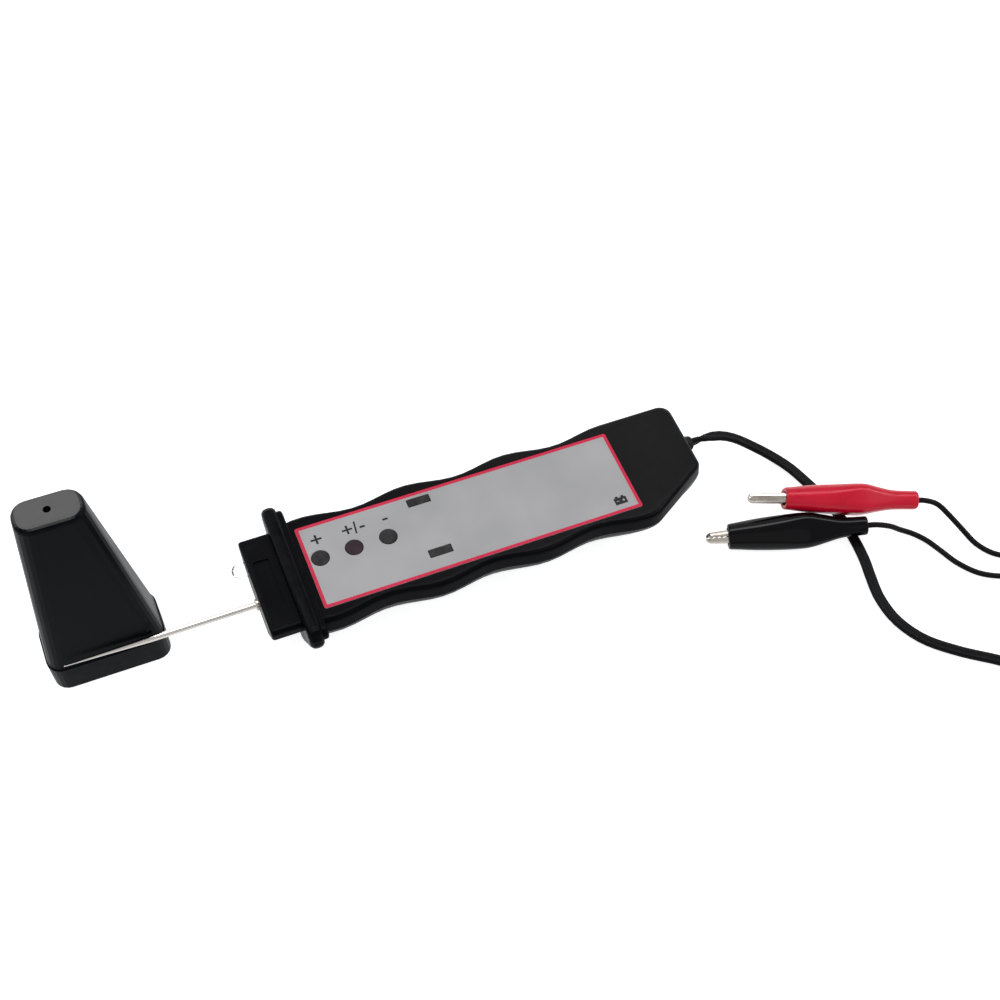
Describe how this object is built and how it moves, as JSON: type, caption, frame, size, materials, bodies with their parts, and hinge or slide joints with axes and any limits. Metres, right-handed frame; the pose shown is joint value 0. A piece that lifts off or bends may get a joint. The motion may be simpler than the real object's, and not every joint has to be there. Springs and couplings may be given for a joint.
{
  "type": "polarity tester pen",
  "caption": "Handheld polarity and voltage tester pen with wavy grip, long probe needle, separate needle cap, and a cable ending in red and black crocodile clips.",
  "frame": {"origin": "on the flat of the pen's back, 60 mm behind the front face of the finger guard", "axes": "+X from the needle towards the tail, +Y to the left seen from the tail along -X with the label up, +Z out of the label"},
  "size_m": [0.3464, 0.1443, 0.07],
  "materials": {
    "housing": "satin",
    "cap": "satin",
    "relief": "matte",
    "label": "satin",
    "window": "gloss",
    "needle": "polished",
    "nickel": "satin",
    "spring_steel": "satin",
    "screw": "satin",
    "brass": "satin",
    "clear": "gloss",
    "board": "satin",
    "chip": "matte",
    "resistor": "satin",
    "red_lamp": "gloss",
    "green_lamp": "gloss",
    "cable": "satin",
    "red_wire": "satin",
    "red_rubber": "gloss",
    "black_rubber": "gloss",
    "tie": "matte"
  },
  "bodies": {
    "root": {"top_shell": "housing", "rear_shell": "housing", "front_label": "label", "positive_window": "window", "pulse_window": "window", "negative_window": "window", "upper_bar_window": "window", "lower_bar_window": "window", "positive_led": "red_lamp", "pulse_led": "red_lamp", "negative_led": "green_lamp", "upper_bar_led": "red_lamp", "lower_bar_led": "red_lamp", "probe_needle": "needle", "needle_collar": "nickel", "needle_terminal": "brass", "work_light": "clear", "work_light_leg_left": "nickel", "work_light_leg_right": "nickel", "circuit_board": "board", "controller_chip": "chip", "driver_chip": "chip", "capacitor": "chip", "resistor_0": "resistor", "resistor_1": "resistor", "resistor_2": "resistor", "resistor_3": "resistor", "case_screw_0": "screw", "case_screw_1": "screw", "strain_relief": "relief", "inner_wire_red": "red_wire", "inner_wire_black": "cable", "power_cable": "cable", "cable_coil": "cable", "power_cable_end": "cable", "cable_tie": "tie", "lead_splitter": "cable", "red_lead": "cable", "black_lead": "cable", "red_boot": "red_rubber", "red_fixed_jaw": "nickel", "red_jaw_pin": "nickel", "red_jaw_spring": "spring_steel", "black_boot": "black_rubber", "black_fixed_jaw": "nickel", "black_jaw_pin": "nickel", "black_jaw_spring": "spring_steel", "needle_cap": "cap"},
    "red_jaw": {"red_moving_jaw": "nickel"},
    "black_jaw": {"black_moving_jaw": "nickel"}
  },
  "joints": [
    {"name": "red_jaw_hinge", "type": "hinge", "parent": "root", "child": "red_jaw", "pos_m": [0.09797, -0.02504, 0.01054], "axis": [0.3173, 0.8335, 0.4523], "range_deg": [0, 16], "stiffness_Nm_per_rad": 0.005, "springref_deg": -17.19, "deforming": ["red_boot", "red_jaw_spring"]},
    {"name": "black_jaw_hinge", "type": "hinge", "parent": "root", "child": "black_jaw", "pos_m": [0.08346, -0.0289, 0.00535], "axis": [0.2354, 0.448, -0.8625], "range_deg": [0, 16], "stiffness_Nm_per_rad": 0.005, "springref_deg": -17.19, "deforming": ["black_boot", "black_jaw_spring"]}
  ]
}
